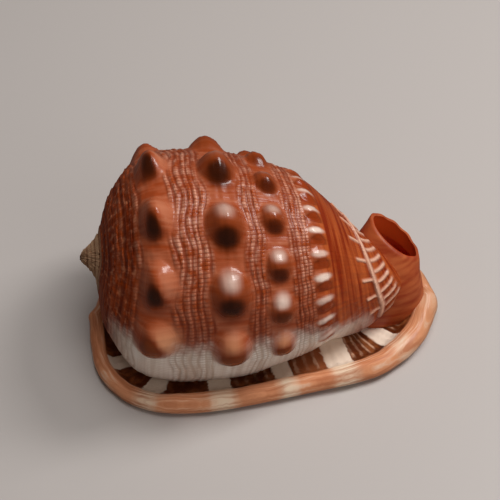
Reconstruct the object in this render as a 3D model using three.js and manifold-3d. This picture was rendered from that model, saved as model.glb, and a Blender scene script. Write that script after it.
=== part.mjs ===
// Bullmouth helmet shell, lying on its mouth: one thick shell with a low spire, four rows of
// knobs, a rolled lip all round its flat underside, an upturned siphonal canal and a toothed slit.
// Millimetres, +Z up. The spire points to -X, the canal to +X and the outer lip to -Y.
import * as THREE from 'three';
import { LoftGeometry } from 'three/addons/geometries/LoftGeometry.js';
import { mergeVertices } from 'three/addons/utils/BufferGeometryUtils.js';
import Module from 'manifold-3d';

const degrees = THREE.MathUtils.degToRad;

// Coil: every whorl turns about an axis that dips a little towards the canal
const apex = new THREE.Vector3(-75, -2, 41);
const axisDip = degrees(4.4);
const growthPerRadian = 0.053;
const fullSizeTurn = degrees(90); // the turn at which the profile below has its true size
const lipTurn = degrees(104); // where growth stops and the wall closes in under the lip
const neckDrop = 7; // how far the neck sinks below the axis
const neckDropFrom = 98;
const bodyEnd = 136;
// The wall of the whorl drops into the lip: turns where it starts and ends, at the spire and at the neck
const skirt = { from: degrees(118), to: degrees(146), height: 1.5, alongFrom: 14, alongTo: 40 };
const neckSkirt = { from: degrees(84), to: degrees(128), alongFrom: 84, alongTo: 122 };

// Profile of the last whorl without its knobs: distance along the axis, radius
const profile = new THREE.SplineCurve([
  [0, 0.4], [2.4, 3.4], [7.4, 9], [9.6, 15], [12.6, 26], [17.4, 34.5], [23, 42], [29.5, 46.8],
  [40, 49], [49, 49.2], [58, 48.8], [69, 47.5], [79, 44.8], [88, 41.7], [97, 37.4], [109, 29.5],
  [120, 21.4], [126, 17.4], [131, 13.6], [134.4, 9], [bodyEnd, 2],
].map(([along, radius]) => new THREE.Vector2(along, radius)));

// Rows of knobs: place along the axis, angle between knobs, angle of one knob, height, half sizes
const knobRows = [
  { along: 29.5, pitch: degrees(30.5), phase: degrees(-6.4), height: 6.2, halfAlong: 6.5, halfRound: 8 },
  { along: 58.5, pitch: degrees(29.6), phase: degrees(3), height: 6.6, halfAlong: 7, halfRound: 8.5 },
  { along: 79, pitch: degrees(21.7), phase: degrees(5.3), height: 4.2, halfAlong: 5.5, halfRound: 6 },
  { along: 97, pitch: degrees(14.35), phase: degrees(16.5), height: 2.4, halfAlong: 5, halfRound: 3.6 },
];
const knobsFadeFrom = degrees(100);
const knobsFadeTo = degrees(122);
const olderKnobs = 0.3; // extra height of the older knobs
const olderTurn = degrees(35);

// Base: outline of the lip on the table, seen from above, with the height of its rolled rim
const outline = [
  [74.3, -6, 14], [71.3, -16.5, 10], [65.5, -26, 8], [57.5, -34.5, 7.4], [47.5, -42, 7.2], [36.5, -46.5, 7.2],
  [24, -49.2, 7.4], [10, -51.8, 7.6], [-6, -54.4, 7.8], [-22, -56.4, 8], [-36.5, -56.6, 8], [-48.5, -53.4, 7.8],
  [-58.6, -47.4, 7.4], [-67.2, -37.8, 7], [-72, -27, 6.6], [-74.2, -13.5, 6.4], [-73.6, 0, 6], [-69, 13, 5.4],
  [-60, 26, 5], [-46, 37.5, 5], [-28, 44.5, 5], [-8, 46, 5], [13, 42.5, 5], [33, 35, 5.4],
  [50, 26, 6.4], [63, 16, 9], [71, 6, 13],
].map((point) => new THREE.Vector3(...point));
// Section of the lip from its flat underside over the rolled rim to the gutter, for a rim 1 high
const rimSection = [
  { inset: 0.4, height: 0 }, { inset: 0.08, height: 0.12 }, { inset: 0, height: 0.36 },
  { inset: 0.1, height: 0.74 }, { inset: 0.46, height: 1 }, { inset: 0.88, height: 0.92 },
  { inset: 1.12, height: 0.74 }, { inset: 1.4, height: 0.62 },
];
const gutterScale = 0.5; // where the gutter floor ends, well inside the whorl
const gutterHeight = { front: 7, back: 15, from: -10, to: 18 }; // its floor climbs towards the far side

// Canal: ovals from its foot on the table up to the mouth, which leans towards +X
const canal = [
  { at: [49, -2.5, 0], lean: 0, long: 22.5, short: 22.5 },
  { at: [50.5, -2, 8], lean: 6, long: 20, short: 21 },
  { at: [53, 0, 17], lean: 18, long: 16.3, short: 15.5 },
  { at: [55.6, 3, 25], lean: 32, long: 13, short: 9.6 },
  { at: [57.3, 6.4, 31.5], lean: 40, long: 11.6, short: 5.6 },
];
const canalYaw = degrees(-18); // turn of the oval's long side about the canal
const canalWall = 2.2;
const canalPoints = 28;
const canalSteps = 10;
const boreStart = 0.35; // part of the way up the canal where the bore meets the slit

// Mouth slit on the underside: middle line, half widths, and how high it climbs inside the whorl
const slit = [
  { x: -62, y: -4, half: 1.6, roof: 3.4 },
  { x: -52, y: -11, half: 3, roof: 9 },
  { x: -34, y: -17, half: 4.2, roof: 27 },
  { x: -8, y: -19, half: 5, roof: 29 },
  { x: 18, y: -16, half: 5.4, roof: 26 },
  { x: 40, y: -9, half: 5.2, roof: 20 },
  { x: 56, y: -1, half: 4.2, roof: 17 },
  { x: 66, y: 4.5, half: 2.8, roof: 19 },
  { x: 78, y: 10, half: 2.2, roof: 20 },
];
const slitLean = 0.35; // sideways towards the lip for each millimetre up
const slitSteps = 26;
const teeth = { count: 19, from: 0.16, to: 0.68, long: 3.4, wide: 1.5, high: 1.6 };

const ringPoints = 66;
const bodyRings = 38;
const outlinePoints = 84;

const axis = new THREE.Vector3(Math.cos(axisDip), 0, -Math.sin(axisDip));
const upward = new THREE.Vector3(Math.sin(axisDip), 0, Math.cos(axisDip));
const frontward = new THREE.Vector3().crossVectors(axis, upward);

// Size of the whorl at a turn: a logarithmic spiral, closed off under the lip
function growth(turn) {
  const spiral = Math.exp(growthPerRadian * (Math.min(turn, lipTurn) - fullSizeTurn));
  const underside = Math.exp(growthPerRadian * (-Math.PI - fullSizeTurn));
  return THREE.MathUtils.lerp(spiral, underside, THREE.MathUtils.smoothstep(turn, lipTurn, Math.PI));
}

// Height of the knobs above the plain whorl
function knobHeight(along, radius, turn) {
  const fade = 1 - THREE.MathUtils.smoothstep(turn, knobsFadeFrom, knobsFadeTo);
  const older = 1 + olderKnobs * THREE.MathUtils.smoothstep(-turn, 0, olderTurn);
  let height = 0;
  for (const row of knobRows) {
    const steps = Math.round((turn - row.phase) / row.pitch);
    const roundAbout = (turn - row.phase - steps * row.pitch) * radius;
    const distance = Math.hypot((along - row.along) / row.halfAlong, roundAbout / row.halfRound);
    if (distance < 1) height += row.height * fade * older * (0.5 + 0.5 * Math.cos(Math.PI * distance)) ** 0.8;
  }
  return height;
}

function coilPoint(along, radius, turn) {
  const size = growth(turn);
  const drop = neckDrop * THREE.MathUtils.smoothstep(along, neckDropFrom, bodyEnd);
  const point = apex.clone()
    .addScaledVector(axis, along * size)
    .addScaledVector(upward, radius * size * Math.cos(turn) - drop)
    .addScaledVector(frontward, radius * size * Math.sin(turn));
  const neck = THREE.MathUtils.smoothstep(along, neckSkirt.alongFrom, neckSkirt.alongTo);
  const from = THREE.MathUtils.lerp(skirt.from, neckSkirt.from, neck);
  const to = THREE.MathUtils.lerp(skirt.to, neckSkirt.to, neck);
  const sunk = THREE.MathUtils.smoothstep(Math.abs(turn), from, to);
  const spread = THREE.MathUtils.smoothstep(along, skirt.alongFrom, skirt.alongTo);
  return point.setZ(THREE.MathUtils.lerp(point.z, Math.min(point.z, skirt.height), sunk * spread));
}

function whorl() {
  const rings = profile.getSpacedPoints(bodyRings).map(({ x: along, y: radius }) => {
    const ring = [];
    for (let i = 0; i < ringPoints; i++) {
      const turn = (2 * Math.PI * i) / ringPoints - Math.PI;
      ring.push(coilPoint(along, radius + knobHeight(along, radius, turn), turn));
    }
    return ring;
  });
  return new LoftGeometry(rings, { capStart: true, capEnd: true });
}

// The lip: a flat-bottomed dish whose edge is rolled up and whose middle is lost in the whorl
function lip() {
  const curve = new THREE.CatmullRomCurve3(outline, true, 'centripetal');
  const edge = curve.getSpacedPoints(outlinePoints).slice(0, outlinePoints).reverse();
  const inward = edge.map((point, i) => {
    const before = edge[(i + outlinePoints - 1) % outlinePoints];
    const after = edge[(i + 1) % outlinePoints];
    return new THREE.Vector3(before.y - after.y, after.x - before.x, 0).normalize();
  });
  const rings = rimSection.map(({ inset, height }) => edge.map((point, i) => (
    point.clone().addScaledVector(inward[i], inset * point.z).setZ(height * point.z))));
  rings.push(edge.map((point) => {
    const far = THREE.MathUtils.smoothstep(point.y, gutterHeight.from, gutterHeight.to);
    const height = THREE.MathUtils.lerp(gutterHeight.front, gutterHeight.back, far);
    return point.clone().multiplyScalar(gutterScale).setZ(height);
  }));
  return new LoftGeometry(rings, { capStart: true, capEnd: true });
}

// Ovals up the canal, thinner by the wall where they make its bore
function canalTube(from, shrink, beyond) {
  const middle = new THREE.CatmullRomCurve3(canal.map(({ at }) => new THREE.Vector3(...at)));
  const sections = [];
  for (let i = 0; i <= canalSteps; i++) {
    const u = THREE.MathUtils.lerp(from, 1, i / canalSteps);
    const place = (canal.length - 1) * u;
    const k = Math.min(Math.floor(place), canal.length - 2);
    const mix = (key) => THREE.MathUtils.lerp(canal[k][key], canal[k + 1][key], place - k);
    const lean = degrees(mix('lean'));
    const outward = new THREE.Vector3(Math.sin(lean), 0, Math.cos(lean));
    const longSide = new THREE.Vector3(Math.cos(lean), 0, -Math.sin(lean)).applyAxisAngle(outward, canalYaw);
    const shortSide = new THREE.Vector3().crossVectors(outward, longSide);
    const centre = middle.getPoint(u).addScaledVector(outward, i === canalSteps ? beyond : 0);
    sections.push(Array.from({ length: canalPoints }, (_, j) => {
      const angle = (2 * Math.PI * j) / canalPoints;
      return centre.clone()
        .addScaledVector(longSide, (mix('long') - shrink) * Math.cos(angle))
        .addScaledVector(shortSide, (mix('short') - shrink) * Math.sin(angle));
    }));
  }
  return new LoftGeometry(sections, { capStart: true, capEnd: true });
}

function slitAt(u) {
  const place = (slit.length - 1) * u;
  const k = Math.min(Math.floor(place), slit.length - 2);
  const mix = (key) => THREE.MathUtils.lerp(slit[k][key], slit[k + 1][key], place - k);
  return { x: mix('x'), y: mix('y'), half: mix('half'), roof: mix('roof') };
}

function slitCutter() {
  const sections = [];
  for (let i = 0; i <= slitSteps; i++) {
    const { x, y, half, roof } = slitAt(i / slitSteps);
    const wall = [[half * 1.35, -1], [half, roof * 0.15], [half * 1.1, roof * 0.6], [half * 0.6, roof],
      [-half * 0.6, roof], [-half * 1.1, roof * 0.6], [-half, roof * 0.15], [-half * 1.35, -1]];
    sections.push(wall.map(([across, z]) => new THREE.Vector3(x, y + across - slitLean * Math.max(z, 0), z)));
  }
  return new LoftGeometry(sections, { capStart: true, capEnd: true });
}

function tooth(u, side) {
  const { x, y, half } = slitAt(u);
  const bead = new THREE.SphereGeometry(1, 7, 4);
  bead.scale(teeth.wide, teeth.long, teeth.high);
  bead.translate(x, y + side * (half + teeth.long * 0.45) - slitLean * 2.4, 2.4);
  return bead;
}

const wasm = await Module();
wasm.setup();

function toSolid(geometry) {
  const bare = new THREE.BufferGeometry().setAttribute('position', geometry.getAttribute('position'));
  bare.setIndex(geometry.index);
  const merged = mergeVertices(bare, 1e-4);
  return new wasm.Manifold(new wasm.Mesh({
    numProp: 3,
    vertProperties: merged.attributes.position.array,
    triVerts: new Uint32Array(merged.index.array),
  }));
}

function toGeometry(solid) {
  const mesh = solid.getMesh();
  return new THREE.BufferGeometry()
    .setAttribute('position', new THREE.BufferAttribute(mesh.vertProperties, 3))
    .setIndex(new THREE.BufferAttribute(mesh.triVerts, 1));
}

function shell() {
  const table = new THREE.BoxGeometry(300, 300, 100).translate(0, 0, -50);
  let solid = toSolid(whorl()).add(toSolid(lip())).add(toSolid(canalTube(0, 0, 0)));
  solid = solid.subtract(toSolid(canalTube(boreStart, canalWall, 3)));
  solid = solid.subtract(toSolid(slitCutter()));
  for (let i = 0; i < teeth.count; i++) {
    const u = THREE.MathUtils.lerp(teeth.from, teeth.to, i / (teeth.count - 1));
    for (const side of [-1, 1]) solid = solid.add(toSolid(tooth(u, side)));
  }
  return toGeometry(solid.subtract(toSolid(table)));
}

const geometry = shell();
geometry.computeBoundingBox();
const centre = geometry.boundingBox.getCenter(new THREE.Vector3());
geometry.translate(-centre.x, -centre.y, 0);

const shellMaterial = new THREE.MeshStandardMaterial({ color: 0xa9583a, roughness: 0.35, metalness: 0 });
const shellMesh = new THREE.Mesh(geometry, shellMaterial);
shellMesh.name = 'shell';

const part = new THREE.Group();
part.add(shellMesh);

export default part;
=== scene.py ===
import functools
import math
import bpy
import numpy as np
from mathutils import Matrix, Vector


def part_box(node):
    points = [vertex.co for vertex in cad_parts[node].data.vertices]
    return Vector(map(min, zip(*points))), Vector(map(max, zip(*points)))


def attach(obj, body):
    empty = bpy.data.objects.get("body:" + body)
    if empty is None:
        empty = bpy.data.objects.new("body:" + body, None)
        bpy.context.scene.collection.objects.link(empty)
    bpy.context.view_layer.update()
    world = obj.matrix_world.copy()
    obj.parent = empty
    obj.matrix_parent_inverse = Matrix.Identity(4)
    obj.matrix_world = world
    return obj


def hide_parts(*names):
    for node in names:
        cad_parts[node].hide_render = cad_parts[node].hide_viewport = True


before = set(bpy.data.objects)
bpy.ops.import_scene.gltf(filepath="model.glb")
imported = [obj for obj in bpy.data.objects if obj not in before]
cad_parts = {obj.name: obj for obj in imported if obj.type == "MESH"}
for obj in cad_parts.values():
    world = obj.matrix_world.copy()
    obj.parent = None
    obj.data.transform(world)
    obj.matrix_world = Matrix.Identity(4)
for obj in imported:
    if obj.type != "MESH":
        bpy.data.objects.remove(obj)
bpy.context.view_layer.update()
mm = 0.001

# bullmouth helmet shell lying on its mouth: spire to -X, canal to +X, outer lip to -Y
# shapes are worked out in mm in the coil's own frame, then moved into the row frame


def smoothStep(low, high, x):
    s = np.clip((x - low) / (high - low), 0.0, 1.0)
    return s * s * (3.0 - 2.0 * s)


def mix(a, b, share):
    return a + (b - a) * share


def splineThrough(points, samples, closed=False):
    p = np.array(points, float)
    n = len(p)
    u = np.linspace(0.0, n if closed else n - 1, samples, endpoint=not closed)
    k = np.minimum(u.astype(int), n - 1 if closed else n - 2)
    w = (u - k)[:, None]
    pick = (lambda i: p[i % n]) if closed else (lambda i: p[np.clip(i, 0, n - 1)])
    p0, p1, p2, p3 = pick(k - 1), pick(k), pick(k + 1), pick(k + 2)
    v0, v1 = (p2 - p0) / 2, (p3 - p1) / 2
    return (2 * p1 - 2 * p2 + v0 + v1) * w**3 + (3 * p2 - 3 * p1 - 2 * v0 - v1) * w**2 + v0 * w + p1


def lengthAlong(line):
    return np.concatenate([[0.0], np.cumsum(np.linalg.norm(np.diff(line, axis=0), axis=1))])


whorl = {
    "apex": (-75.0, -2.0, 41.0),
    "axisDip": 4.4,  # degrees, down towards the canal
    "growth": 0.053,  # per radian of turn
    "fullSizeTurn": 90.0,
    "lipTurn": 104.0,  # growth stops here and the wall closes in under the lip
    "neckDrop": 7.0,
    "neckDropFrom": 98.0,
    "end": 136.0,
    "profile": [  # distance along the axis, radius
        (0, 0.4), (2.4, 3.4), (7.4, 9), (9.6, 15), (12.6, 26), (17.4, 34.5), (23, 42), (29.5, 46.8),
        (40, 49), (49, 49.2), (58, 48.8), (69, 47.5), (79, 45), (88, 42.4), (97, 38.6), (109, 30.8),
        (120, 22.2), (126, 17.4), (131, 13.6), (134.4, 9), (136, 2),
    ],
    # where the wall sinks into the lip's callus, in degrees round and mm along the axis
    "skirt": {"near": (106.0, 133.0), "far": (118.0, 146.0), "height": 2.4, "along": (14.0, 40.0)},
    "neckSkirt": {"turns": (110.0, 140.0), "along": (66.0, 92.0)},
    "tailSkirt": {"turns": (94.0, 130.0), "along": (104.0, 120.0)},
    "climb": {"size": 4.2, "turns": (45.0, 98.0), "back": (175.0, 130.0), "along": (4.0, 16.0, 40.0, 24.0)},
    "lowest": 2.4,  # the side that lies in the callus
    "levelFrom": (96.0, 108.0), "levelTo": (178.0, 150.0),  # turns where markings run on under the lip
    "fine": 0.68, "coarse": 1.25, "fineFrom": 12.0, "fineTo": 131.0,  # ring spacing in mm
    "turnsSeen": (-150.0, 130.0), "seenSteps": 306, "hiddenSteps": 26,
}
dip = math.radians(whorl["axisDip"])
apex = np.array(whorl["apex"])
axisWay = np.array([math.cos(dip), 0.0, -math.sin(dip)])
upWay = np.array([math.sin(dip), 0.0, math.cos(dip)])
frontWay = np.cross(axisWay, upWay)


def growthAt(turn):  # turn in degrees, 0 on top, 90 at the outer lip side
    rate = whorl["growth"] * math.pi / 180.0
    spiral = np.exp(rate * (np.minimum(turn, whorl["lipTurn"]) - whorl["fullSizeTurn"]))
    under = math.exp(rate * (-180.0 - whorl["fullSizeTurn"]))
    return mix(spiral, under, smoothStep(whorl["lipTurn"], 180.0, turn))


def neckDropAt(along):
    return whorl["neckDrop"] * smoothStep(whorl["neckDropFrom"], whorl["end"], along)


def climbAt(along, turn):  # the last of the shoulder leans towards the spire
    climb = whorl["climb"]
    share = smoothStep(*climb["along"][:2], along) * smoothStep(*climb["along"][2:], along)
    return climb["size"] * smoothStep(*climb["turns"], turn) * smoothStep(*climb["back"], turn) * share


def coilPoints(along, radius, turn):
    size, angle = growthAt(turn), np.radians(turn)
    lift = radius * size * np.cos(angle) - neckDropAt(along)
    points = (apex + axisWay * (along * size - climbAt(along, turn))[..., None] + upWay * lift[..., None]
              + frontWay * (radius * size * np.sin(angle))[..., None])
    skirt = whorl["skirt"]
    start, stop = (np.where(turn > 0, skirt["near"][i], skirt["far"][i]) for i in (0, 1))
    for later in (whorl["neckSkirt"], whorl["tailSkirt"]):
        share = smoothStep(*later["along"], along)
        start, stop = mix(start, later["turns"][0], share), mix(stop, later["turns"][1], share)
    sunk = smoothStep(start, stop, np.abs(turn)) * smoothStep(*skirt["along"], along)
    points[..., 2] = mix(points[..., 2], np.minimum(points[..., 2], skirt["height"]), sunk)
    points[..., 2] = np.maximum(points[..., 2], whorl["lowest"])
    return points


profileLine = splineThrough(whorl["profile"], 3000)
profileSpan = lengthAlong(profileLine)


def spanAt(along):  # distance over the surface from the apex
    return float(np.interp(along, profileLine[:, 0], profileSpan))


def whorlRings():
    inFine = (profileLine[1:, 0] > whorl["fineFrom"]) & (profileLine[1:, 0] < whorl["fineTo"])
    wanted = np.where(inFine, whorl["fine"], whorl["coarse"])
    count = np.concatenate([[0.0], np.cumsum(np.diff(profileSpan) / wanted)])
    stations = np.interp(np.linspace(0, count[-1], int(count[-1]) + 1), count, profileSpan)
    along = np.interp(stations, profileSpan, profileLine[:, 0])
    radius = np.interp(stations, profileSpan, profileLine[:, 1])
    low, high = whorl["turnsSeen"]
    seen = np.linspace(low, high, whorl["seenSteps"], endpoint=False)
    hidden = np.linspace(high, low + 360.0, whorl["hiddenSteps"], endpoint=False)
    turns = np.sort((np.concatenate([seen, hidden]) + 180.0) % 360.0 - 180.0)
    shape = (len(along), len(turns))
    return coilPoints(np.broadcast_to(along[:, None], shape), np.broadcast_to(radius[:, None], shape),
                      np.broadcast_to(turns[None, :], shape))


lip = {
    "outline": [  # x, y and height of the rolled rim
        (73.4, -4.5, 14), (75.1, -9.4, 12), (73.6, -14.8, 11.2), (67.2, -27.2, 9.8), (59, -36, 9.4),
        (48.4, -43.3, 8.8), (36.8, -47.4, 8.4), (24, -49.6, 8), (10, -51.8, 7.8), (-6, -54.4, 7.8),
        (-22, -56.4, 7.9), (-36.5, -56.6, 7.9), (-49.4, -54.2, 7.5), (-60.2, -48.2, 7), (-68.2, -38.6, 6.6),
        (-72.6, -27, 6.2), (-74, -13.5, 6.2), (-74.4, -4.5, 6.2), (-74.8, -1.2, 6.2), (-72, 3, 6),
        (-68.4, 13, 5.4), (-60, 26, 5), (-46, 37.5, 5), (-28, 44.5, 5), (-8, 46, 5), (13, 42.5, 5),
        (33, 35, 5.4), (50, 26, 6.4), (63, 16, 9), (71, 6, 13),
    ],
    "section": [  # inset and height of the rim's section, for a rim 1 high
        (0.8, 0), (0.48, 0.04), (0.2, 0.14), (0.05, 0.29), (0, 0.45), (0.02, 0.61), (0.1, 0.78),
        (0.26, 0.93), (0.46, 1), (0.68, 0.99), (0.86, 0.91), (0.98, 0.79), (1.07, 0.68), (1.3, 0.5),
    ],
    "sectionSteps": 30,
    "widest": 9.6, "cornerEase": 40,  # keep the rim from folding at its corners
    "floorSteps": 12, "floorSag": 1.2,
    # the gutter's floor runs in to half the outline, and rises on the far side
    "innerScale": 0.5, "innerHeight": (3.6, 15.0), "farFrom": -10.0, "farTo": 18.0,
    "undersideScales": (0.06, 0.16, 0.26, 0.36, 0.46, 0.55, 0.64, 0.72, 0.79, 0.85, 0.9, 0.94, 0.97),
    "dish": 1.8,  # the underside is a little hollow
    "steps": 300,
    "ridges": 93,  # counted round the gutter
    "squares": 14, "squarePhase": 19.5,  # brown squares round the gutter, and where the first stands in mm
    "squareSlide": 4.8, "squareSlides": [(3.0, 12.0), (-38.0, -47.0)],  # mm along, past these places on X
    "smallSquare": [(8.0, 14.0), (35.0, 30.0)],  # where the small one begins and ends on X
}
outlineDense = splineThrough(lip["outline"], 4000, closed=True)
outlineLength = lengthAlong(np.concatenate([outlineDense, outlineDense[:1]]))
outlineTotal = outlineLength[-1]


def lipRings():
    at = np.linspace(0, outlineTotal, lip["steps"], endpoint=False)
    edge = np.stack([np.interp(at, outlineLength[:-1], outlineDense[:, i]) for i in range(3)], 1)[::-1]
    ahead, behind = np.roll(edge, -1, 0), np.roll(edge, 1, 0)
    inward = np.stack([behind[:, 1] - ahead[:, 1], ahead[:, 0] - behind[:, 0]], 1)
    for _ in range(lip["cornerEase"]):
        inward = (np.roll(inward, 1, 0) + 2 * inward + np.roll(inward, -1, 0)) / 4
    inward /= np.linalg.norm(inward, axis=1, keepdims=True)
    height = edge[:, 2]
    width = np.minimum(height, lip["widest"])

    def ring(inset, lift):
        return np.column_stack([edge[:, :2] + inward * (inset * width)[:, None], lift * height])

    section = splineThrough(lip["section"], lip["sectionSteps"])
    rims = [ring(inset, max(lift, 0.0)) for inset, lift in section]
    under = [rims[0] * [s, s, 0] + [0, 0, lip["dish"] * (1 - s**4)] for s in lip["undersideScales"]]
    far = smoothStep(lip["farFrom"], lip["farTo"], edge[:, 1])
    inner = np.column_stack([edge[:, :2] * lip["innerScale"], mix(*lip["innerHeight"], far)])
    floor = [mix(rims[-1], inner, s) - [0, 0, lip["floorSag"] * math.sin(math.pi * s)]
             for s in np.linspace(0, 1, lip["floorSteps"] + 1)[1:]]
    return np.array(under + rims + floor)


canal = {
    "middle": [(49, 0.5, 2.4), (50.6, 0, 9), (52.6, -0.2, 18.5), (54.5, 1, 26.6), (56.1, 3.4, 33.9)],
    "lean": (0, 6, 16, 27, 34),  # degrees towards +X
    "yaw": (-18, -20, -26, -32, -35),
    "long": (22.5, 20.5, 17.4, 15.4, 14.2),
    "short": (19, 18, 14.8, 10.6, 9.7),
    "nearWall": 2.5, "farWall": 1.2,
    "edge": 1.1,  # radius of the rounded mouth edge
    # the thin far wall bulges, stands a little higher and has a chipped edge
    "farOut": 0.12, "farUp": 0.2, "chips": 0.3, "chipCount": 11, "chipDepth": 14.0,
    # the near wall closes in towards its edge
    "roll": -3.6, "rollAt": -1.0, "rollHalf": 6.0, "rollRest": 0.4,
    "boreFrom": 0.35, "borePast": 6.0,
    "around": 84, "steps": 60,
}


def canalRings(bore):
    us = np.linspace(canal["boreFrom"] if bore else 0.0, 1.0, canal["steps"])
    place = us * (len(canal["middle"]) - 1)
    middle = splineThrough(canal["middle"], 801)
    centre = np.stack([np.interp(us, np.linspace(0, 1, 801), middle[:, i]) for i in range(3)], 1)
    leans, yaws, longHalf, shortHalf = (np.interp(place, range(len(canal[key])), canal[key])
                                        for key in ("lean", "yaw", "long", "short"))
    leans, yaws = np.radians(leans), np.radians(yaws)
    toMouth = lengthAlong(centre)[-1] - lengthAlong(centre)
    edge = canal["edge"]
    rounding = edge - np.sqrt(np.maximum(edge**2 - np.maximum(edge - toMouth, 0) ** 2, 0))
    angles = np.linspace(0, 2 * math.pi, canal["around"], endpoint=False)
    nearShare = smoothStep(0.35, -0.35, np.sin(angles))
    rings = []
    for c, tilt, yaw, a, b, curl, below in zip(centre, leans, yaws, longHalf, shortHalf, rounding, toMouth):
        out = np.array([math.sin(tilt), 0, math.cos(tilt)])
        side = np.array([0.0, 1.0, 0.0])
        flat = np.cross(side, out)
        longWay = flat * math.cos(yaw) + side * math.sin(yaw)
        shortWay = np.cross(out, longWay)
        near = math.exp(-(((below - canal["rollAt"]) / canal["rollHalf"]) ** 2))
        swell = canal["roll"] * (near - canal["rollRest"])
        if bore:
            wall = (canal["nearWall"] + canal["farWall"]) / 2
            c = c + shortWay * (canal["nearWall"] - canal["farWall"]) / 2
            a, b = a - wall + (swell + curl) * nearShare, b - wall + (swell + curl) * nearShare
        else:
            a, b = a + (swell - curl) * nearShare, b + (swell - curl) * nearShare
        far = np.maximum(np.sin(angles), 0)
        b = b * (1 + canal["farOut"] * far)
        chips = canal["chips"] * far * np.sin(canal["chipCount"] * angles)
        top = smoothStep(canal["chipDepth"], 0.0, below) * (canal["farUp"] * far**0.7 + chips)
        ring = c + np.outer(a * np.cos(angles), longWay) + np.outer(b * np.sin(angles), shortWay)
        rings.append(ring if bore else ring + np.outer(top, out))
    if bore:  # past the mouth, so the cut is open
        rings.append(rings[-1] + out * canal["borePast"])
    return np.array(rings)


slit = {
    "middle": [  # x, y, half width, roof height
        (-62, -4, 1.6, 3.4), (-52, -11, 3, 9), (-34, -17, 4.2, 27), (-8, -19, 5, 29), (18, -16, 5.4, 26),
        (40, -9, 5.2, 20), (54, -2, 4.2, 18), (62, 2.5, 2.8, 17), (67, 5.5, 1.4, 8),
    ],
    "lean": 0.35,  # sideways towards the lip for each mm up
    "leastHalf": 1.0, "leastRoof": 3.0,
    "section": [  # half width and height, for a slit 1 wide and 1 high, open below
        (1.6, -1.0), (1.35, 0.0), (1.08, 0.05), (1, 0.15), (1.05, 0.35), (1.1, 0.6), (0.95, 0.85), (0.6, 1.0),
    ],
    "steps": 110,
}
slitDense = splineThrough(slit["middle"], 900)


def slitRings():
    place = np.linspace(0, len(slitDense) - 1, slit["steps"]).astype(int)
    rings = []
    for x, y, half, roof in slitDense[place]:
        wide, high = max(half, slit["leastHalf"]), max(roof, slit["leastRoof"])
        right = [(wide * a, -1.0 if b < 0 else high * b) for a, b in slit["section"]]
        wall = right + [(-a, b) for a, b in right[::-1]]
        rings.append([(x, y + a - slit["lean"] * max(b, 0), b) for a, b in wall])
    return np.array(rings)


# row frame from the coil's frame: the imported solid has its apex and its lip's front at its box's edges
cadLow = np.array(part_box("shell")[0]) / mm
rowShift = np.array([cadLow[0] - profileLine[0, 0] - apex[0], cadLow[1] - outlineDense[:, 1].min(), 0.0])
print("moved into the row frame by", rowShift.round(2))


def hexColour(code):
    values = [int(code[i:i + 2], 16) / 255 for i in (1, 3, 5)]
    return [v / 12.92 if v < 0.04045 else ((v + 0.055) / 1.055) ** 2.4 for v in values] + [1.0]


def addNode(tree, kind, inputs=(), **settings):  # inputs in a list go in from the top
    node = tree.nodes.new(kind)
    for name, value in settings.items():
        setattr(node, name, value)
    for key, value in inputs.items() if isinstance(inputs, dict) else enumerate(inputs):
        if isinstance(value, str) and value.startswith("#"):
            value = hexColour(value)
        if isinstance(value, bpy.types.Node):
            value = next(socket for socket in value.outputs if socket.enabled)
        if isinstance(value, bpy.types.NodeSocket):
            tree.links.new(value, node.inputs[key])
        else:
            node.inputs[key].default_value = value
    return node


def newMaterial(name):
    material = bpy.data.materials.new(name)
    material.use_nodes = True
    material.node_tree.nodes.clear()
    return material, functools.partial(addNode, material.node_tree)


def dress(add, inputs):  # the surface that light meets, which ends a material
    surface = add("ShaderNodeBsdfPrincipled", inputs)
    add("ShaderNodeOutputMaterial", {"Surface": surface})


# the kinds of node that come up most, and their settings
calc, ramp, blend, attribute = "ShaderNodeMath", "ShaderNodeMapRange", "ShaderNodeMix", "ShaderNodeAttribute"
vector, join, noise = "ShaderNodeVectorMath", "ShaderNodeCombineXYZ", "ShaderNodeTexNoise"
times, timesPlus, minus = {"operation": "MULTIPLY"}, {"operation": "MULTIPLY_ADD"}, {"operation": "SUBTRACT"}
dot, smooth = {"operation": "DOT_PRODUCT"}, {"interpolation_type": "SMOOTHSTEP"}
inColour = {"data_type": "RGBA"}
circle = 2 * math.pi
refraction = 1.56  # of shell


def drawnNoise(add, sizes, **settings):  # noise whose grain has a size of its own along each coordinate
    scaled = [add(calc, [value, 1 / size], **times) for value, size in sizes]
    place = add(join, scaled)
    return add(noise, {"Vector": place, "Scale": 1.0, **settings}).outputs[0]


# crossed-lamellar aragonite, laid down by the mantle's edge: glossy shell with red-brown growth streaks along
# the axis, pink beads on the cords and knobs that are cream above and nearly black below; the cream is partly
# a painted highlight on each knob's lit side, and the black partly painted shade on its lower side
whorlGrain = {  # mm along the coil and degrees round it
    "streak": (22, 3.0), "stripe": (2.1, 80), "patch": (3.4, 5), "thread": 1.95,
}
whorlShell, add = newMaterial("aragonite whorl, grown in beaded cords and knobs")
span, turn, knobPale, knobDark, knobCover, cordPhase, cordBand, pleat, coils = (
    add(attribute, attribute_name=name).outputs["Fac"]
    for name in ("span", "turn", "knobPale", "knobDark", "knobCover", "cordPhase", "cordBand", "pleat",
                 "coils"))
streak = drawnNoise(add, zip((span, turn), whorlGrain["streak"]), Detail=2.0, Roughness=0.55)
streak = add(ramp, [streak, 0.36, 0.68])
stripe = drawnNoise(add, zip((span, turn), whorlGrain["stripe"]), Detail=2.0)
stripe = add(ramp, [stripe, 0.38, 0.64])
patch = drawnNoise(add, zip((span, turn), whorlGrain["patch"]), Detail=2.0)

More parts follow.
